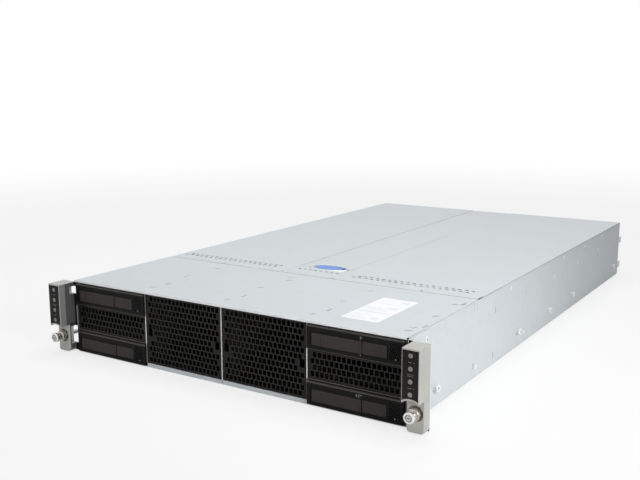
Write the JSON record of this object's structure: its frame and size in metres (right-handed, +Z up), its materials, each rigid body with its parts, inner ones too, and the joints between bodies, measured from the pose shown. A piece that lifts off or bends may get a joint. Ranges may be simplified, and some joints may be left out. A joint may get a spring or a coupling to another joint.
{
  "type": "rack server",
  "caption": "Two-unit rack server with a sliding top cover, front drive carriers, control ears with captive screws, rear sliding compute modules and power supplies.",
  "frame": {"origin": "middle of the underside of the chassis", "axes": "+X to the right as seen from the front, +Y to the rear, +Z up"},
  "size_m": [0.4826, 0.8335, 0.087],
  "materials": {
    "zinc_sheet": "bright zinc-coated sheet",
    "inner_sheet": "zinc-coated sheet",
    "black_steel": "satin black",
    "bezel_black": "fine grained black",
    "lever_grey": "satin dark warm grey",
    "ear_grey": "light warm grey, fine grain",
    "inlay_black": "black film",
    "button_grey": "grey keys",
    "nickel": "nickel-plated",
    "pad_blue": "satin blue",
    "circuit_board": "solder mask green",
    "drive_case": "cast and machined",
    "supply_case": "zinc-coated case",
    "latch_colour": "satin blue touch points"
  },
  "bodies": {
    "chassis": {"chassis_tray": "zinc_sheet", "front_top_panel": "zinc_sheet", "drive_cage": "black_steel", "centre_grille_left": "black_steel", "centre_grille_right": "black_steel", "blank_grilles": "black_steel", "left_ear": "ear_grey", "right_ear": "ear_grey", "ear_brackets": "zinc_sheet", "left_button_panel": "inlay_black", "right_button_panel": "inlay_black", "drive_backplane": "circuit_board", "power_distribution_boards": "circuit_board", "bay_dividers": "inner_sheet", "node_shelves": "inner_sheet", "chassis_fasteners": "nickel"},
    "cover": {"top_cover": "zinc_sheet"},
    "cover_pad": {"cover_latch": "pad_blue"},
    "left_button_1_key": {"left_button_1": "button_grey"},
    "left_button_2_key": {"left_button_2": "button_grey"},
    "left_button_3_key": {"left_button_3": "button_grey"},
    "left_button_4_key": {"left_button_4": "button_grey"},
    "left_rack_screw_body": {"left_rack_screw": "nickel"},
    "right_button_1_key": {"right_button_1": "button_grey"},
    "right_button_2_key": {"right_button_2": "button_grey"},
    "right_button_3_key": {"right_button_3": "button_grey"},
    "right_button_4_key": {"right_button_4": "button_grey"},
    "right_rack_screw_body": {"right_rack_screw": "nickel"},
    "carrier_bottom_left": {"carrier_bottom_left_frame": "bezel_black", "carrier_bottom_left_drive": "drive_case"},
    "carrier_bottom_left_lever_arm": {"carrier_bottom_left_lever": "lever_grey"},
    "carrier_bottom_left_release_key": {"carrier_bottom_left_release": "lever_grey"},
    "carrier_bottom_right": {"carrier_bottom_right_frame": "bezel_black", "carrier_bottom_right_drive": "drive_case"},
    "carrier_bottom_right_lever_arm": {"carrier_bottom_right_lever": "lever_grey"},
    "carrier_bottom_right_release_key": {"carrier_bottom_right_release": "lever_grey"},
    "carrier_top_left": {"carrier_top_left_frame": "bezel_black", "carrier_top_left_drive": "drive_case"},
    "carrier_top_left_lever_arm": {"carrier_top_left_lever": "lever_grey"},
    "carrier_top_left_release_key": {"carrier_top_left_release": "lever_grey"},
    "carrier_top_right": {"carrier_top_right_frame": "bezel_black", "carrier_top_right_drive": "drive_case"},
    "carrier_top_right_lever_arm": {"carrier_top_right_lever": "lever_grey"},
    "carrier_top_right_release_key": {"carrier_top_right_release": "lever_grey"},
    "supply_lower_unit": {"supply_lower": "supply_case"},
    "supply_lower_latch_arm": {"supply_lower_latch": "latch_colour"},
    "module_lower_left": {"module_lower_left_tray": "inner_sheet", "module_lower_left_electronics": "circuit_board"},
    "module_lower_left_latch_arm": {"module_lower_left_latch": "latch_colour"},
    "module_lower_right": {"module_lower_right_tray": "inner_sheet", "module_lower_right_electronics": "circuit_board"},
    "module_lower_right_latch_arm": {"module_lower_right_latch": "latch_colour"},
    "supply_upper_unit": {"supply_upper": "supply_case"},
    "supply_upper_latch_arm": {"supply_upper_latch": "latch_colour"},
    "module_upper_left": {"module_upper_left_tray": "inner_sheet", "module_upper_left_electronics": "circuit_board"},
    "module_upper_left_latch_arm": {"module_upper_left_latch": "latch_colour"},
    "module_upper_right": {"module_upper_right_tray": "inner_sheet", "module_upper_right_electronics": "circuit_board"},
    "module_upper_right_latch_arm": {"module_upper_right_latch": "latch_colour"}
  },
  "joints": [
    {"name": "cover_slide", "type": "slide", "parent": "chassis", "child": "cover", "axis": [0, 1, 0], "range_m": [0, 0.022]},
    {"name": "cover_pad_press", "type": "slide", "parent": "cover", "child": "cover_pad", "axis": [0, 0, -1], "range_m": [0, 0.0015], "stiffness_N_per_m": 1500},
    {"name": "left_rack_screw_turn", "type": "hinge", "parent": "chassis", "child": "left_rack_screw_body", "pos_m": [-0.23255, -0.3855, 0.02], "axis": [0, 1, 0], "continuous": true},
    {"name": "right_rack_screw_turn", "type": "hinge", "parent": "chassis", "child": "right_rack_screw_body", "pos_m": [0.23255, -0.3855, 0.02], "axis": [0, 1, 0], "continuous": true},
    {"name": "carrier_bottom_left_slide", "type": "slide", "parent": "chassis", "child": "carrier_bottom_left", "axis": [0, -1, 0], "range_m": [0, 0.17]},
    {"name": "carrier_bottom_left_lever_swing", "type": "hinge", "parent": "carrier_bottom_left", "child": "carrier_bottom_left_lever_arm", "pos_m": [-0.2088, -0.386, 0.0056], "axis": [0, 0, -1], "range_deg": [0, 60]},
    {"name": "carrier_bottom_left_release_press", "type": "slide", "parent": "carrier_bottom_left", "child": "carrier_bottom_left_release_key", "axis": [0, 1, 0], "range_m": [0, 0.002], "stiffness_N_per_m": 1500},
    {"name": "carrier_bottom_right_slide", "type": "slide", "parent": "chassis", "child": "carrier_bottom_right", "axis": [0, -1, 0], "range_m": [0, 0.17]},
    {"name": "carrier_bottom_right_lever_swing", "type": "hinge", "parent": "carrier_bottom_right", "child": "carrier_bottom_right_lever_arm", "pos_m": [0.1165, -0.386, 0.0056], "axis": [0, 0, -1], "range_deg": [0, 60]},
    {"name": "carrier_bottom_right_release_press", "type": "slide", "parent": "carrier_bottom_right", "child": "carrier_bottom_right_release_key", "axis": [0, 1, 0], "range_m": [0, 0.002], "stiffness_N_per_m": 1500},
    {"name": "carrier_top_left_slide", "type": "slide", "parent": "chassis", "child": "carrier_top_left", "axis": [0, -1, 0], "range_m": [0, 0.17]},
    {"name": "carrier_top_left_lever_swing", "type": "hinge", "parent": "carrier_top_left", "child": "carrier_top_left_lever_arm", "pos_m": [-0.2088, -0.386, 0.0634], "axis": [0, 0, -1], "range_deg": [0, 60]},
    {"name": "carrier_top_left_release_press", "type": "slide", "parent": "carrier_top_left", "child": "carrier_top_left_release_key", "axis": [0, 1, 0], "range_m": [0, 0.002], "stiffness_N_per_m": 1500},
    {"name": "carrier_top_right_slide", "type": "slide", "parent": "chassis", "child": "carrier_top_right", "axis": [0, -1, 0], "range_m": [0, 0.17]},
    {"name": "carrier_top_right_lever_swing", "type": "hinge", "parent": "carrier_top_right", "child": "carrier_top_right_lever_arm", "pos_m": [0.1165, -0.386, 0.0634], "axis": [0, 0, -1], "range_deg": [0, 60]},
    {"name": "carrier_top_right_release_press", "type": "slide", "parent": "carrier_top_right", "child": "carrier_top_right_release_key", "axis": [0, 1, 0], "range_m": [0, 0.002], "stiffness_N_per_m": 1500},
    {"name": "supply_lower_slide", "type": "slide", "parent": "chassis", "child": "supply_lower_unit", "axis": [0, 1, 0], "range_m": [0, 0.28]},
    {"name": "supply_lower_latch_swing", "type": "hinge", "parent": "supply_lower_unit", "child": "supply_lower_latch_arm", "pos_m": [0.03455, 0.388, 0.0215], "axis": [0, 0, 1], "range_deg": [0, 12], "stiffness_Nm_per_rad": 0.3},
    {"name": "module_lower_left_slide", "type": "slide", "parent": "chassis", "child": "module_lower_left", "axis": [0, 1, 0], "range_m": [0, 0.57]},
    {"name": "module_lower_left_latch_swing", "type": "hinge", "parent": "module_lower_left", "child": "module_lower_left_latch_arm", "pos_m": [-0.08875, 0.388, 0.008], "axis": [0, 0, -1], "range_deg": [0, 12], "stiffness_Nm_per_rad": 0.3},
    {"name": "module_lower_right_slide", "type": "slide", "parent": "chassis", "child": "module_lower_right", "axis": [0, 1, 0], "range_m": [0, 0.57]},
    {"name": "module_lower_right_latch_swing", "type": "hinge", "parent": "module_lower_right", "child": "module_lower_right_latch_arm", "pos_m": [0.166, 0.388, 0.008], "axis": [0, 0, -1], "range_deg": [0, 12], "stiffness_Nm_per_rad": 0.3},
    {"name": "supply_upper_slide", "type": "slide", "parent": "chassis", "child": "supply_upper_unit", "axis": [0, 1, 0], "range_m": [0, 0.28]},
    {"name": "supply_upper_latch_swing", "type": "hinge", "parent": "supply_upper_unit", "child": "supply_upper_latch_arm", "pos_m": [0.03455, 0.388, 0.06405], "axis": [0, 0, 1], "range_deg": [0, 12], "stiffness_Nm_per_rad": 0.3},
    {"name": "module_upper_left_slide", "type": "slide", "parent": "chassis", "child": "module_upper_left", "axis": [0, 1, 0], "range_m": [0, 0.57]},
    {"name": "module_upper_left_latch_swing", "type": "hinge", "parent": "module_upper_left", "child": "module_upper_left_latch_arm", "pos_m": [-0.08875, 0.388, 0.05055], "axis": [0, 0, -1], "range_deg": [0, 12], "stiffness_Nm_per_rad": 0.3},
    {"name": "module_upper_right_slide", "type": "slide", "parent": "chassis", "child": "module_upper_right", "axis": [0, 1, 0], "range_m": [0, 0.57]},
    {"name": "module_upper_right_latch_swing", "type": "hinge", "parent": "module_upper_right", "child": "module_upper_right_latch_arm", "pos_m": [0.166, 0.388, 0.05055], "axis": [0, 0, -1], "range_deg": [0, 12], "stiffness_Nm_per_rad": 0.3},
    {"name": "left_button_1_press", "type": "slide", "parent": "chassis", "child": "left_button_1_key", "axis": [0, 1, 0], "range_m": [0, 0.001], "stiffness_N_per_m": 1200},
    {"name": "left_button_2_press", "type": "slide", "parent": "chassis", "child": "left_button_2_key", "axis": [0, 1, 0], "range_m": [0, 0.001], "stiffness_N_per_m": 1200},
    {"name": "left_button_3_press", "type": "slide", "parent": "chassis", "child": "left_button_3_key", "axis": [0, 1, 0], "range_m": [0, 0.001], "stiffness_N_per_m": 1200},
    {"name": "left_button_4_press", "type": "slide", "parent": "chassis", "child": "left_button_4_key", "axis": [0, 1, 0], "range_m": [0, 0.001], "stiffness_N_per_m": 1200},
    {"name": "right_button_1_press", "type": "slide", "parent": "chassis", "child": "right_button_1_key", "axis": [0, 1, 0], "range_m": [0, 0.001], "stiffness_N_per_m": 1200},
    {"name": "right_button_2_press", "type": "slide", "parent": "chassis", "child": "right_button_2_key", "axis": [0, 1, 0], "range_m": [0, 0.001], "stiffness_N_per_m": 1200},
    {"name": "right_button_3_press", "type": "slide", "parent": "chassis", "child": "right_button_3_key", "axis": [0, 1, 0], "range_m": [0, 0.001], "stiffness_N_per_m": 1200},
    {"name": "right_button_4_press", "type": "slide", "parent": "chassis", "child": "right_button_4_key", "axis": [0, 1, 0], "range_m": [0, 0.001], "stiffness_N_per_m": 1200}
  ]
}
